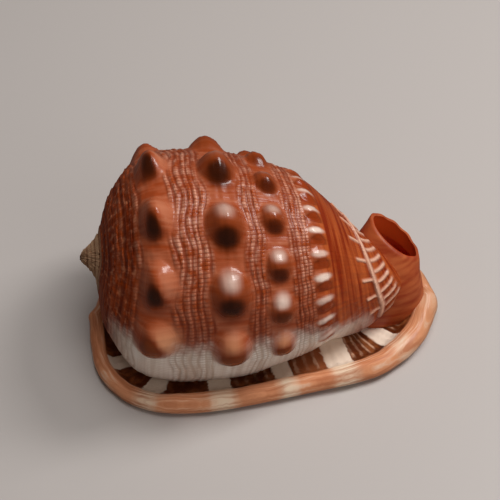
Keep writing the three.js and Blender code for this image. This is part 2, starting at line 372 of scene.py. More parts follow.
shoulder = add(ramp, [span, spanAt(28), spanAt(21)], **smooth)
rust = add(blend, {0: stripe, 6: "#641f0b", 7: "#9c4624"}, **inColour)
neck = add(ramp, [span, spanAt(94), spanAt(101)], **smooth)
orange = add(blend, {0: stripe, 6: "#842a11", 7: "#b4582f"}, **inColour)

# cords about 2 to 3 mm apart, crossed by threads 1.5 mm apart
wave = add(calc, [cordPhase, circle], **times)
wave = add(calc, [wave], operation="COSINE")
crest = add(ramp, [wave, -1.0, 0.1], **smooth)
thread = add(calc, [turn, circle / whorlGrain["thread"]], **times)
thread = add(calc, [cordPhase, 0.9, thread], **timesPlus)
thread = add(calc, [streak, 1.6, thread], **timesPlus)
thread = add(calc, [thread], operation="SINE")
bead = add(ramp, [thread, -1.0, 0.3, 0.46], **smooth)
for value, least in ((crest, 0.3), (stripe, 0.4)):
    share = add(ramp, [value, 0, 1, least])
    bead = add(calc, [bead, share], **times)
pink = add(ramp, [patch, 0.38, 0.62])
ripe = add(ramp, [turn, 78, 48, 0.35], **smooth)
pink = add(calc, [pink, ripe], **times)
pink = add(blend, {0: pink, 6: "#b05530", 7: "#dc9d82"}, **inColour)
cord = add(blend, {0: bead, 6: "#80321a", 7: pink}, **inColour)
covered = add(calc, [knobCover, 2.0], **times, use_clamp=True)
bare = add(calc, [1.0, covered], **minus)
ruddy = add(calc, [shoulder, -0.75, 1.0], **timesPlus)
corded = cordBand
for share in (bare, ruddy):
    corded = add(calc, [corded, share], **times)

# knobs: tan on the shoulder, cream lower down, all fading to orange near the lip; their pale caps also carry
# a painted highlight
old = add(ramp, [turn, -27, -8, 0.25], **smooth)
lowest = add(ramp, [span, spanAt(88), spanAt(91)])
young = add(ramp, [turn, 68, 86], **smooth)
notLowest = add(ramp, [lowest, 0, 1, 1, 0])
young = add(calc, [young, notLowest], **times)
body = add(ramp, [span, spanAt(38), spanAt(46)])
pale = add(blend, {0: body, 6: "#c67b5c", 7: "#f2d8c8"}, **inColour)
pale = add(blend, {0: young, 6: pale, 7: "#de9a72"}, **inColour)
brown = add(ramp, [knobCover, 0.25, 0.75, 0, 0.7], **smooth)
notYoung = add(ramp, [young, 0, 1, 1, 0])
for share in (body, notYoung, notLowest):
    brown = add(calc, [brown, share], **times)
bumps = add(ramp, [patch, 0.56, 0.7, 0, 0.55])
bumps = add(calc, [bumps, shoulder], **times)
# pale caps: the knob's own pale tint with a painted highlight, brighter the further round the coil
capTintAndHighlight = add(ramp, [turn, 0, 56, 0.2])
notBody = add(ramp, [body, 0, 1, 1, 0])
for share in (notBody, lowest):
    capTintAndHighlight = add(calc, [capTintAndHighlight, share], operation="MAXIMUM")
for share in (old, knobPale):
    capTintAndHighlight = add(calc, [capTintAndHighlight, share], **times)
# dark patches on the knobs' lower side: their own dark tint with painted shade
nut = add(ramp, [span, spanAt(67), spanAt(71)])
dark = add(blend, {0: nut, 6: "#3c1402", 7: "#56200b"}, **inColour)
dark = add(blend, {0: lowest, 6: dark, 7: "#953d1e"}, **inColour)
dark = add(blend, {0: young, 6: dark, 7: "#85401f"}, **inColour)
# burnt and black lay this dark tint and painted shade over the ground, faded on the oldest knobs
darkTintAndShade = add(calc, [knobDark, old], **times)
burnt = add(ramp, [darkTintAndShade, 0, 0.6])
black = add(ramp, [darkTintAndShade, 0.3, 0.95], **smooth)

# the last growth before the lip is grey white
edge = add(ramp, [span, spanAt(88), spanAt(112), 92.0, 107.0])
late = add(calc, [patch, 11.0, turn], **timesPlus)
late = add(calc, [late, edge], **minus)
late = add(ramp, [late, -3.0, 13.0], **smooth)
clear = add(ramp, [knobCover, 0.85, 0.3])
start = add(ramp, [span, spanAt(14), spanAt(22)])
stop = add(ramp, [span, spanAt(118), spanAt(108)])
for share in (clear, start, stop):
    late = add(calc, [late, share], **times)
plain = add(ramp, [stripe, 0, 1, 0.45])
woven = add(blend, {0: cordBand, 2: plain, 3: bead}, data_type="FLOAT")
groove = add(ramp, [thread, -1.0, -0.2, 0.55])
weave = add(calc, [woven, groove], **times)
grey = add(blend, {0: weave, 6: "#ccb4a2", 7: "#fbf0e6"}, **inColour)

# worn spire, chalky and tan, darker in its sutures
spire = add(ramp, [span, spanAt(9.5), spanAt(8)], **smooth)
seam = add(calc, [coils, math.pi], **times)
seam = add(calc, [seam], operation="SINE")
tan = add(blend, {0: seam, 6: "#784e36", 7: "#b59072"}, **inColour)

# red-brown ground, and what lies over it in this order
colour = add(blend, {0: streak, 6: "#a04828", 7: "#b6684a"}, **inColour)
for share, layer in ((shoulder, rust), (neck, orange), (corded, cord), (brown, "#8a3d1d"), (bumps, "#c07a58"),
                     (capTintAndHighlight, pale), (burnt, "#7c3418"), (black, dark), (late, grey), (pleat, "#e8b69c"),
                     (spire, tan)):
    colour = add(blend, {0: share, 6: colour, 7: layer}, **inColour)
colour = add("ShaderNodeHueSaturation", {"Saturation": 1.03, "Color": colour})
weft = add(calc, [bead, corded], **times)
weft = add(calc, [streak, 0.35, weft], **timesPlus)
bump = add("ShaderNodeBump", {"Height": weft, "Strength": 0.7, "Distance": 0.3 * mm})
worn = add(ramp, [knobCover, 0, 1, 0.33, 0.22])
matt = add(calc, [shoulder, 0.2, worn], **timesPlus)
shine = add(ramp, [shoulder, 0, 1, 0.37, 0.08])
dress(add, {"Base Color": colour, "Roughness": matt, "IOR": refraction,
            "Specular IOR Level": shine, "Normal": bump})

# callus built up in thin sheets: smooth peach rim with cream bands, and a white gutter with dark squares
lipGrain = {"lamina": (22, 0.9), "blotch": (5, 5), "sheets": (24, 1.6)}  # mm along the outline and across it
lipCallus, add = newMaterial("porcelain callus of the lip, built up in sheets")
east, north, ratio, inset = (add(attribute, attribute_name=name).outputs["Fac"]
                             for name in ("lipEast", "lipNorth", "lipRatio", "lipInset"))
spot = add("ShaderNodeTexCoord").outputs["Object"]
where = add("ShaderNodeSeparateXYZ", [spot]).outputs
height = add(calc, [where["Z"], 1 / mm], **times)
angle = add(calc, [north, east], operation="ARCTAN2")
around = outlineTotal / circle
sheet = add(calc, [inset, height], **minus)
size, thin = lipGrain["lamina"]
lamina = drawnNoise(add, ((east, size / around), (north, size / around), (sheet, thin)),
                    Detail=4.0, Roughness=0.6)
size, thin = lipGrain["blotch"]
blotch = drawnNoise(add, ((east, size / around), (north, size / around), (inset, thin)), Detail=2.0)
perMm = circle * lip["squares"] / outlineTotal
beat = add(calc, [angle, lip["squares"], -lip["squarePhase"] * perMm], **timesPlus)
# squares on both sides of the middle two stand further on, and the next one to the canal is small and light
for start, end in lip["squareSlides"]:
    slide = add(ramp, [where["X"], start * mm, end * mm])
    beat = add(calc, [slide, -lip["squareSlide"] * perMm, beat], **timesPlus)
beat = add(calc, [beat], operation="COSINE")
loose = add(calc, [blotch, 0.5], **minus)
square = add(calc, [loose, 0.35, beat], **timesPlus)
small = 1.0
for start, end in lip["smallSquare"]:
    share = add(ramp, [where["X"], start * mm, end * mm])
    small = add(calc, [share, small], **times)
square = add(calc, [small, -0.4, square], **timesPlus)
cream = add(ramp, [square, 0.1, -1.25], **smooth)
square = add(ramp, [square, -0.52, -0.34], **smooth)
near = add(ramp, [where["Y"], 26 * mm, 8 * mm])
square = add(calc, [square, near], **times)
behind = add(ramp, [where["X"], -66 * mm, -50 * mm])
before = add(ramp, [where["X"], 30 * mm, 60 * mm, 1, 0.4])
for share in (behind, before):
    cream = add(calc, [cream, share], **times)
peach = add(blend, {0: cream, 6: "#de966c", 7: "#f5dabc"}, **inColour)
shade = add(ramp, [lamina, 0.56, 0.38, 0, 0.8])
peach = add(blend, {0: shade, 6: peach, 7: "#b96d47"}, **inColour)
flesh = add(ramp, [lamina, 0.56, 0.70, 0, 0.6])
peach = add(blend, {0: flesh, 6: peach, 7: "#f0dcc4"}, **inColour)
ahead = add(ramp, [where["X"], 58 * mm, 70 * mm])
tanned = add(calc, [ahead, 0.55], **times)
peach = add(blend, {0: tanned, 6: peach, 7: "#cd926c"}, **inColour)
stain = add(ramp, [blotch, 0.45, 0.65])
brown = add(blend, {0: stain, 6: "#5f2a11", 7: "#8f502b"}, **inColour)
brown = add(blend, {0: small, 6: brown, 7: "#9c5833"}, **inColour)
comb = add(calc, [angle, lip["ridges"]], **times)
comb = add(calc, [comb], operation="COSINE")
comb = add(ramp, [comb, 0.2, 0.9, 0, 0.85])
stained = add(ramp, [stain, 0, 1, 0.25])
onward = add(ramp, [where["X"], -30 * mm, 20 * mm])
deep = add(ramp, [ratio, 1.2, 1.5])
for share in (stained, onward, deep):
    comb = add(calc, [comb, share], **times)
brown = add(blend, {0: comb, 6: brown, 7: "#d3a98c"}, **inColour)
white = add(blend, {0: near, 6: "#e0b796", 7: "#f8e2cd"}, **inColour)
gutter = add(blend, {0: square, 6: white, 7: brown}, **inColour)
gutter = add(blend, {0: ahead, 6: gutter, 7: "#b9683e"}, **inColour)
inner = add(ramp, [ratio, 0.88, 0.98], **smooth)
colour = add(blend, {0: inner, 6: peach, 7: gutter}, **inColour)
below = add(ramp, [height, 2.3, 2.0])
lowEdge = add(ramp, [height, 0.6, 0.1])
within = add(ramp, [ratio, 0.6, 0.85])
within = add(calc, [within, lowEdge], operation="MAXIMUM")
below = add(calc, [below, within], **times)
cloud = add(noise, {"Vector": spot, "Scale": 1 / (30 * mm), "Detail": 2.0}).outputs[0]
clouded = add(ramp, [cloud, 0.3, 0.7])
glaze = add(blend, {0: clouded, 6: "#dd9668", 7: "#eab58c"}, **inColour)
beside = add(attribute, attribute_name="beside").outputs["Fac"]
gap = add(calc, [beside], operation="ABSOLUTE")
gap = add(calc, [cloud, 8.0, gap], **timesPlus)
close = add(ramp, [gap, 20.0, 11.0], **smooth)
far = add(ramp, [beside, -2.0, 2.0])
burnt = add(blend, {0: far, 6: "#b5632f", 7: "#552310"}, **inColour)
glaze = add(blend, {0: close, 6: glaze, 7: burnt}, **inColour)
colour = add(blend, {0: below, 6: colour, 7: glaze}, **inColour)
rough = add(ramp, [below, 0, 1, 0.5, 0.0])
bump = add("ShaderNodeBump", {"Height": lamina, "Strength": rough, "Distance": 0.5 * mm})
dress(add, {"Base Color": colour, "Roughness": 0.3, "IOR": refraction,
            "Specular IOR Level": 0.22, "Normal": bump})

# smooth inner shell turned out at the canal: plain orange-red, paler and browner along its growth lines
canalWall, add = newMaterial("smooth shell of the canal, turned outwards")
spot = add("ShaderNodeTexCoord").outputs["Object"]
place = add("ShaderNodeMapping", {"Vector": spot, "Scale": [1 / (size * mm) for size in (12, 12, 2.2)]})
grow = add(noise, {"Vector": place, "Scale": 1.0, "Detail": 3.0}).outputs[0]
grow = add(ramp, [grow, 0.35, 0.66])
colour = add(blend, {0: grow, 6: "#96391a", 7: "#b35a30"}, **inColour)
dress(add, {"Base Color": colour, "Roughness": 0.42, "IOR": refraction, "Specular IOR Level": 0.25})

# the living animal kept the inside glazed: deep red and wet looking
innerGlaze, add = newMaterial("glazed lining of the mouth, polished by the mantle")
dress(add, {"Base Color": "#cc481a", "Roughness": 0.26, "IOR": refraction})

# enamel-like ridges, thick and clean: plain ivory with a wet gloss
toothIvory, add = newMaterial("ivory teeth of the mouth, worn smooth")
dress(add, {"Base Color": "#f0e2cf", "Roughness": 0.25, "IOR": refraction})
shellMaterials = [whorlShell, lipCallus, canalWall, innerGlaze, toothIvory]
print("materials ready:", ", ".join(material.name for material in shellMaterials))


def skin(name, rings, slotIndex):
    n, m, _ = rings.shape
    points = np.concatenate([rings.reshape(-1, 3), rings[[0, -1]].mean(1)]) + rowShift
    i, j = np.meshgrid(np.arange(n - 1), np.arange(m), indexing="ij")
    k = (j + 1) % m
    quads = np.stack([i * m + j, i * m + k, (i + 1) * m + k, (i + 1) * m + j], -1).reshape(-1, 4)
    ends = [(n * m, (q + 1) % m, q) for q in range(m)]
    ends += [(n * m + 1, (n - 1) * m + q, (n - 1) * m + (q + 1) % m) for q in range(m)]
    mesh = bpy.data.meshes.new(name)
    mesh.from_pydata((points * mm).tolist(), [], quads.tolist() + ends)
    for material in shellMaterials:
        mesh.materials.append(material)
    mesh.polygons.foreach_set("material_index", [slotIndex] * len(mesh.polygons))
    piece = bpy.data.objects.new(name, mesh)
    bpy.context.scene.collection.objects.link(piece)
    return piece


def bake(piece):  # the evaluated shape becomes the plain mesh, and its modifiers go
    graph = bpy.context.evaluated_depsgraph_get()
    mesh = bpy.data.meshes.new_from_object(piece.evaluated_get(graph))
    piece.modifiers.clear()
    piece.data = mesh


def newGroup(name, sockets):  # a node group from geometry to geometry, with these inputs beside it
    group = bpy.data.node_groups.new(name, "GeometryNodeTree")
    for way in ("INPUT", "OUTPUT"):
        group.interface.new_socket("Geometry", in_out=way, socket_type="NodeSocketGeometry")
    for label, kind in sockets.items():
        group.interface.new_socket(label, in_out="INPUT", socket_type=kind)
    return group, functools.partial(addNode, group)


def runGroup(piece, group, values):
    step = piece.modifiers.new(group.name, "NODES")
    step.node_group = group
    for socket in group.interface.items_tree:
        if socket.in_out == "INPUT" and socket.name in values:
            step[socket.identifier] = values[socket.name]
    bake(piece)


def carve(piece, tool, operation):
    step = piece.modifiers.new(operation, "BOOLEAN")
    step.operation, step.object, step.solver = operation, tool, "MANIFOLD"
    bake(piece)
    bpy.data.objects.remove(tool)
    print(operation, "leaves", len(piece.data.vertices), "points")


shell = skin("shell_whole", whorlRings(), 0)
carve(shell, skin("lip", lipRings(), 1), "UNION")
carve(shell, skin("canal", canalRings(False), 2), "UNION")
carve(shell, skin("bore", canalRings(True), 3), "DIFFERENCE")
carve(shell, skin("slit", slitRings(), 3), "DIFFERENCE")


# white teeth along both edges of the slit: ivory ridges, so the mouth looks ribbed
teeth = {
    "outer": {"side": -1, "count": 23, "size": (1.25, 4.6, 1.35), "out": 1.9, "seed": 3},
    "inner": {"side": 1, "count": 26, "size": (1.0, 6.4, 1.3), "out": 3.4, "seed": 5},
    "from": -50.0, "to": 60.0, "height": 1.6,
    "least": (0.85, 0.75, 0.85), "most": (1.12, 1.15, 1.05),  # how far sizes vary
    "clear": 1.1,  # of the slit's half width
}


def toothTree():
    group, add = newGroup("teeth along an edge", {"Count": "NodeSocketInt", "Size": "NodeSocketVector",
                                                  "Seed": "NodeSocketInt"})
    given = add("NodeGroupInput").outputs
    line = add("GeometryNodeMeshToCurve", {"Mesh": given["Geometry"]})
    points = add("GeometryNodeCurveToPoints", {"Curve": line, "Count": given["Count"]}, mode="COUNT")
    turned = add("FunctionNodeAlignRotationToVector", {"Vector": points.outputs["Tangent"]},
                 axis="X", pivot_axis="Z")
    ball = add("GeometryNodeMeshUVSphere", {"Segments": 14, "Rings": 9, "Radius": mm})
    chance = add("FunctionNodeRandomValue", {0: teeth["least"], 1: teeth["most"], 8: given["Seed"]},
                 data_type="FLOAT_VECTOR")
    size = add(vector, [given["Size"], chance], **times)
    made = add("GeometryNodeInstanceOnPoints", {"Points": points.outputs["Points"], "Rotation": turned,
                                                "Instance": ball.outputs["Mesh"], "Scale": size})
    made = add("GeometryNodeRealizeInstances", {"Geometry": made})
    made = add("GeometryNodeSetMaterial", {"Geometry": made, "Material": toothIvory})
    add("NodeGroupOutput", {"Geometry": made})
    return group


def toothRow(name, facts):
    keep = (slitDense[:, 0] > teeth["from"]) & (slitDense[:, 0] < teeth["to"])
    edge = slitDense[keep][::12]
    aside = facts["side"] * (edge[:, 2] * teeth["clear"] + facts["out"])
    points = np.column_stack([edge[:, 0], edge[:, 1] + aside, np.full(len(edge), teeth["height"])])
    mesh = bpy.data.meshes.new(name)
    mesh.from_pydata(((points + rowShift) * mm).tolist(), [(i, i + 1) for i in range(len(points) - 1)], [])
    row = bpy.data.objects.new(name, mesh)
    bpy.context.scene.collection.objects.link(row)
    runGroup(row, toothGroup, {"Count": facts["count"], "Size": facts["size"], "Seed": facts["seed"]})
    row.data.materials.clear()
    for material in shellMaterials:
        row.data.materials.append(material)
    slots = [shellMaterials.index(toothIvory)] * len(row.data.polygons)
    row.data.polygons.foreach_set("material_index", slots)
    return row


toothGroup = toothTree()
for name in ("outer", "inner"):
    carve(shell, toothRow(name + " teeth", teeth[name]), "UNION")


def coilCoordinates(points):
    d = points - apex
    lift, front = d @ upWay, d @ frontWay
    turn = np.degrees(np.arctan2(front, lift))
    along = (d @ axisWay) / growthAt(turn)
    for _ in range(8):
        along = (d @ axisWay + climbAt(along, turn)) / growthAt(turn)
        turn = np.degrees(np.arctan2(front, lift + neckDropAt(along)))
    reach = np.hypot(front, lift + neckDropAt(along))
    here = np.stack([along, reach / growthAt(turn)], 1)
    line, span = profileLine[::6], profileSpan[::6]
    nearest = [((part[:, None] - line) ** 2).sum(-1).argmin(1) for part in np.array_split(here, 120)]
    nearest = np.concatenate(nearest)
    capped = growthAt(np.minimum(turn, whorl["lipTurn"]))
    level = np.interp((d @ axisWay + climbAt(along, turn)) / capped, profileLine[:, 0], profileSpan)
    share = smoothStep(*whorl["levelFrom"], turn) * smoothStep(*whorl["levelTo"], turn)
    return mix(span[nearest], level, share), turn, reach


def lipCoordinates(points):
    line, length = outlineDense[::8], outlineLength[:-1][::8]
    passed, inset, ratio = [], [], []
    for part in np.array_split(points[:, :2], 60):
        gap = ((part[:, None] - line[:, :2]) ** 2).sum(-1)
        k = gap.argmin(1)
        far = np.sqrt(gap[np.arange(len(part)), k])
        passed.append(length[k])
        inset.append(far)
        ratio.append(far / np.minimum(line[k, 2], lip["widest"]))
    angle = np.concatenate(passed) * circle / outlineTotal
    return np.cos(angle), np.sin(angle), np.concatenate(inset), np.concatenate(ratio)


def storeCoordinates(piece):
    mesh = piece.data
    points = np.empty(len(mesh.vertices) * 3)
    mesh.vertices.foreach_get("co", points)
    points = points.reshape(-1, 3) / mm - rowShift
    slots = np.empty(len(mesh.polygons), int)
    mesh.polygons.foreach_get("material_index", slots)
    corners = np.empty(len(mesh.loops), int)
    mesh.loops.foreach_get("vertex_index", corners)
    sizes = np.empty(len(mesh.polygons), int)
    mesh.polygons.foreach_get("loop_total", sizes)
    cornerSlots = np.repeat(slots, sizes)
    faces = np.bincount(corners, minlength=len(points))
    share = [np.bincount(corners, cornerSlots == i, minlength=len(points)) / faces for i in range(2)]
    span, turn, reach = coilCoordinates(points)
    east, north, inset, ratio = lipCoordinates(points)
    beside = points[:, 1] - np.interp(points[:, 0], slitDense[:, 0], slitDense[:, 1])
    angle = np.radians(turn)[:, None]
    outward = upWay * np.cos(angle) + frontWay * np.sin(angle)
    layers = {"span": span, "turn": turn, "reach": reach, "beside": beside,
              "lipEast": east, "lipNorth": north, "lipInset": inset, "lipRatio": ratio,
              "whorlShare": share[0], "lipShare": share[1]}
    for name, values in layers.items():
        mesh.attributes.new(name, "FLOAT", "POINT").data.foreach_set("value", values.astype(np.float32))
    layer = mesh.attributes.new("outward", "FLOAT_VECTOR", "POINT")
    layer.data.foreach_set("vector", outward.astype(np.float32).ravel())


storeCoordinates(shell)

# knobs in four rows, closing up towards the lip; sizes in mm, pitch and phase in degrees
# pale and dark are patches on a knob: offset, half sizes and softness, in shares of the knob,
# and each comes in along the knob's way between two places
# the pale patch is the knob's tint with a painted highlight on its lit side, the dark patch its tint with
# painted shade on its lower side
knobRows = {
    "shoulder": {"along": 31.2, "pitch": 36.2, "gather": 1.2, "phase": -10.0,
                 "height": 7.2, "halfSpan": 10.4, "halfRound": 11.5, "steep": 0.6, "core": 0.78, "blunt": 1.0,
                 "tip": (-0.2, -0.06), "way": (-0.84, 0.54), "crest": 0.25, "skew": 0.0,
                 "pale": (0.2, -0.1, 0.8, 0.84, 0.1), "paleFrom": 0.02, "paleTo": -0.24,
                 "dark": (-0.1, 0.3, 0.72, 0.84, 0.1), "darkFrom": -0.1, "darkTo": 0.3},
    "upper": {"along": 58.5, "pitch": 34.9, "gather": 0.7, "phase": -4.4,
              "height": 7.8, "halfSpan": 11.0, "halfRound": 12.0, "steep": 0.62, "core": 0.76, "blunt": 1.0,
              "tip": (0.0, -0.14), "way": (0.0, 1.0), "crest": 0.0, "skew": 0.0,
              "pale": (0.0, -0.44, 0.54, 0.54, 0.0), "paleFrom": 0.02, "paleTo": -0.26,
              "dark": (0.0, 0.36, 0.88, 0.86, 0.08), "darkFrom": -0.26, "darkTo": 0.34},
    "middle": {"along": 79.0, "pitch": 24.2, "gather": 0.12, "phase": 0.8,
               "height": 4.6, "halfSpan": 7.6, "halfRound": 8.0, "steep": 0.62, "core": 0.8, "blunt": 1.05,
               "tip": (0.0, 0.0), "way": (0.0, 1.0), "crest": 0.0, "skew": 0.0,
               "pale": (0.0, -0.4, 0.66, 0.54, 0.05), "paleFrom": 0.05, "paleTo": -0.25,
               "dark": (0.0, 0.4, 0.9, 0.76, 0.05), "darkFrom": -0.14, "darkTo": 0.4},
    "lower": {"along": 97.0, "pitch": 14.35, "gather": 0.02, "phase": 16.5,
              "height": 1.7, "halfSpan": 5.8, "halfRound": 4.4, "steep": 0.6, "core": 0.85, "blunt": 1.1,
              "tip": (0.0, 0.0), "way": (0.0, 1.0), "crest": 0.0, "skew": -0.35,
              "pale": (0.0, -0.2, 0.95, 0.4, 0.45), "paleFrom": 0.9, "paleTo": 0.5,
              "dark": (0.0, 0.85, 1.0, 0.9, 0.4), "darkFrom": -0.2, "darkTo": 0.2},
}
cordBands = {  # where the beaded cords run between the rows, and their pitch and height in mm
    "shoulder band": {"from": 13.0, "to": 24.5, "pitch": 3.4, "height": 0.22, "bend": 0.6},
    "first": {"from": 36.0, "to": 51.5, "pitch": 2.65, "height": 0.26, "bend": 0.9},
    "second": {"from": 66.0, "to": 74.0, "pitch": 2.35, "height": 0.25, "bend": -0.6},
    "third": {"from": 84.5, "to": 93.0, "pitch": 2.1, "height": 0.2, "bend": 0.0},
}
pleats = {"along": 120.0, "lineHalf": 2.3, "lineHeight": 1.4, "pitch": 13.2, "phase": 4.0, "half": 1.15,
          "height": 0.85, "left": 8.8, "right": 12.6, "bend": 0.11, "slant": 0.035}
pleatStop = (132, 116)  # degrees round the coil: gone at the first, whole at the second
knobAge = {  # degrees round the coil, and what each comes to
    "fade": (122, 100), "farFade": (-132, -108), "last": 103,
    "oldLow": (0, -60, 0.72), "newLow": (15, 65, 0.74),  # the oldest and newest knobs stand lower
    "newLong": (40, 66, 1.2), "darkRise": (40, 94, 0.3), "cordCalm": (76, 94, 0.35),  # towards the lip
}
surfaceRelief = {"suture": 0.9, "ripple": 0.35, "lamina": 0.7, "wobble": 1.4, "ridge": 0.3}  # heights in mm
shoulderRelief = {"cords": 5.0, "lumps": 8.0}  # heights, in ripples


def reliefTree():
    sizes = {}
    for row, facts in knobRows.items():
        for key in ("height", "halfSpan", "halfRound", "pitch", "gather", "phase"):
            sizes[f"{row} {key}"] = facts[key]
        sizes[f"{row} span"] = spanAt(facts["along"])
    for band, facts in cordBands.items():
        sizes[f"{band} pitch"], sizes[f"{band} height"] = facts["pitch"], facts["height"]
        sizes[f"{band} from"], sizes[f"{band} to"] = spanAt(facts["from"]), spanAt(facts["to"])
    for key, value in pleats.items():
        sizes[f"pleat {key}"] = value
    sizes["pleat span"] = spanAt(sizes.pop("pleat along"))
    sizes.update(surfaceRelief)
    group, add = newGroup("coil relief", {name: "NodeSocketFloat" for name in sizes})
    given = add("NodeGroupInput").outputs
    span, turn, reach, east, north, inset, ratio, whorlShare, lipShare = (
        add("GeometryNodeInputNamedAttribute", {"Name": name}, data_type="FLOAT") for name in
        ("span", "turn", "reach", "lipEast", "lipNorth", "lipInset", "lipRatio", "whorlShare", "lipShare"))
    outward = add("GeometryNodeInputNamedAttribute", {"Name": "outward"}, data_type="FLOAT_VECTOR")

    # knobs fade out towards the lip and under the callus of the far side
    fade, farFade = (add(ramp, [turn, low, high], **smooth)
                     for low, high in (knobAge["fade"], knobAge["farFade"]))
    fade = add(calc, [fade, farFade], **times)
    oldLow, newLow, newLong = (
        add(ramp, [turn, low, high, 1, to], **smooth)
        for low, high, to in (knobAge["oldLow"], knobAge["newLow"], knobAge["newLong"]))
    low, high, to = knobAge["darkRise"]
    rise = add(ramp, [turn, low, high, 0, to], **smooth)
    rise = add(join, {1: rise})
    knobLift = knobCover = knobPale = knobDark = 0.0
    for seed, (row, facts) in enumerate(knobRows.items()):
        pitch, gather = given[f"{row} pitch"], given[f"{row} gather"]
        # knob k stands at pitch k - gather k squared, so the nearest one comes from the root of that
        start = add(calc, [turn, given[f"{row} phase"]], **minus)
        root = add(calc, [start, gather], **times)
        root = add(calc, [root, -4.0], **times)
        root = add(calc, [pitch, pitch, root], **timesPlus)
        root = add(calc, [root], operation="SQRT")
        which = add(calc, [pitch, root], **minus)
        which = add(calc, [which, 0.5], **times)
        which = add(calc, [which, gather], operation="DIVIDE")
        which = add(calc, [which], operation="ROUND")
        middle = add(calc, [which, gather], **times)
        middle = add(calc, [pitch, middle], **minus)
        middle = add(calc, [which, middle], **times)
        alive = add(calc, [middle, knobAge["last"] - facts["phase"]], operation="LESS_THAN")
        off = add(calc, [start, middle], **minus)
        off = add(calc, [off], operation="RADIANS")
        off = add(calc, [off, reach], **times)
        chance = add("FunctionNodeRandomValue", {2: 0.86, 3: 1.08, 7: which, 8: seed}, data_type="FLOAT")
        q = add(calc, [off, given[f"{row} halfRound"]], operation="DIVIDE")
        q = add(calc, [q, newLong], operation="DIVIDE")
        p = add(calc, [span, given[f"{row} span"]], **minus)
        p = add(calc, [p, given[f"{row} halfSpan"]], operation="DIVIDE")
        place = add(join, [p, q])
        far = add(vector, [place, place], **dot).outputs["Value"]
        inside = add(calc, [1.0, far], **minus, use_clamp=True)
        tipped = add(vector, {0: facts["tip"] + (0,), "Scale": inside}, operation="SCALE")
        tipped = add(vector, [place, tipped], **minus)
        far = add(vector, [tipped, tipped], **dot).outputs["Value"]
        inside = add(calc, [1.0, far], **minus, use_clamp=True)
        bell = add(calc, [inside, 2.0], operation="POWER")
        core = add(calc, [far, -1 / facts["core"] ** 2, 1.0], **timesPlus, use_clamp=True)
        core = add(calc, [core, facts["blunt"]], operation="POWER")
        lift = add(calc, [core, facts["steep"]], **times)
        lift = add(calc, [bell, 1 - facts["steep"], lift], **timesPlus)
        aside = add(vector, [place, facts["way"] + (0,)], **dot).outputs["Value"]
        aside = add(calc, [aside], operation="ABSOLUTE")
        aside = add(calc, [aside, -facts["crest"], 1.0], **timesPlus)
        for share in (given[f"{row} height"], chance, aside, alive):
            lift = add(calc, [lift, share], **times)
        inside = add(calc, [inside, alive], **times)
        knobLift = add(calc, [lift, knobLift], operation="ADD")
        knobCover = add(calc, [inside, knobCover], operation="MAXIMUM")
        # pale: tint and painted highlight; dark: tint and painted shade
        for key in ("pale", "dark"):
            a, b, wide, high, soft = facts[key]
            here = place
            if key == "dark":
                here = add(vector, [place, rise], operation="ADD")
            gap = add(vector, [here, (a, b, 0)], **minus)
            along = add(vector, [gap, (1 / wide, -facts["skew"] / wide, 0)], **dot)
            across = add(vector, [gap, (0, 1 / high, 0)], **dot)
            gap = add(join, [along.outputs["Value"], across.outputs["Value"]])
            gap = add(vector, [gap], operation="LENGTH").outputs["Value"]
            patch = add(ramp, [gap, 1.0, soft], **smooth)
            over = add(vector, [here, facts["way"] + (0,)], **dot).outputs["Value"]
            low, high = facts[key + "From"], facts[key + "To"]
            over = add(ramp, [over, low, high], **smooth)
            for share in (over, alive):
                patch = add(calc, [patch, share], **times)
            if key == "pale":
                bright = add("FunctionNodeRandomValue", {2: 0.55, 3: 1.0, 7: which, 8: seed + 20},
                             data_type="FLOAT")
                patch = add(calc, [patch, bright], **times)
                knobPale = add(calc, [patch, knobPale], operation="MAXIMUM")
            else:
                knobDark = add(calc, [patch, knobDark], operation="MAXIMUM")
    for share in (fade, oldLow, newLow):
        knobLift = add(calc, [knobLift, share], **times)
    knobCover = add(calc, [knobCover, fade], **times)

    # beaded cords between the rows, bending a little round the knobs
    swing = add(calc, [turn, given["upper phase"]], **minus)
    swing = add(calc, [swing, given["upper pitch"]], operation="DIVIDE")
    swing = add(calc, [swing, circle], **times)
    swing = add(calc, [swing], operation="COSINE")
    uneven = add(calc, [span, 1 / 5], **times)
    uneven = add(noise, {"W": uneven, "Scale": 1.0, "Detail": 1.0}, noise_dimensions="1D").outputs[0]
    uneven = add(calc, [uneven, 0.8, span], **timesPlus)
    waver = drawnNoise(add, ((span, 9), (turn, 15)), Detail=1.0)
    uneven = add(calc, [waver, 3.2, uneven], **timesPlus)
    cordLift = cordPhase = cordBand = 0.0
    for band, facts in cordBands.items():
        bent = add(calc, [swing, facts["bend"], span], **timesPlus)
        step = add(calc, [swing, facts["bend"], uneven], **timesPlus)
        step = add(calc, [step, given[f"{band} from"]], **minus)
        step = add(calc, [step, given[f"{band} pitch"]], operation="DIVIDE")
        wave = add(calc, [step, circle], **times)
        wave = add(calc, [wave], operation="COSINE")
        comes = add(calc, [bent, given[f"{band} from"]], **minus)
        comes = add(ramp, [comes, -1.5, 0.5], **smooth)
        goes = add(calc, [given[f"{band} to"], bent], **minus)
        goes = add(ramp, [goes, -1.5, 0.5], **smooth)
        here = add(calc, [comes, goes], **times)
        lift = add(calc, [wave, given[f"{band} height"]], **times)
        cordLift = add(calc, [lift, here, cordLift], **timesPlus)
        cordBand = add(calc, [here, cordBand], operation="ADD")
        sure = add(calc, [here, 0.001], operation="GREATER_THAN")
        cordPhase = add(calc, [step, sure, cordPhase], **timesPlus)
    bare = add(calc, [1.0, knobCover], **minus)
    low, high, to = knobAge["cordCalm"]
    calm = add(ramp, [turn, low, high, 1, to])
    for share in (bare, calm):
        cordLift = add(calc, [cordLift, share], **times)

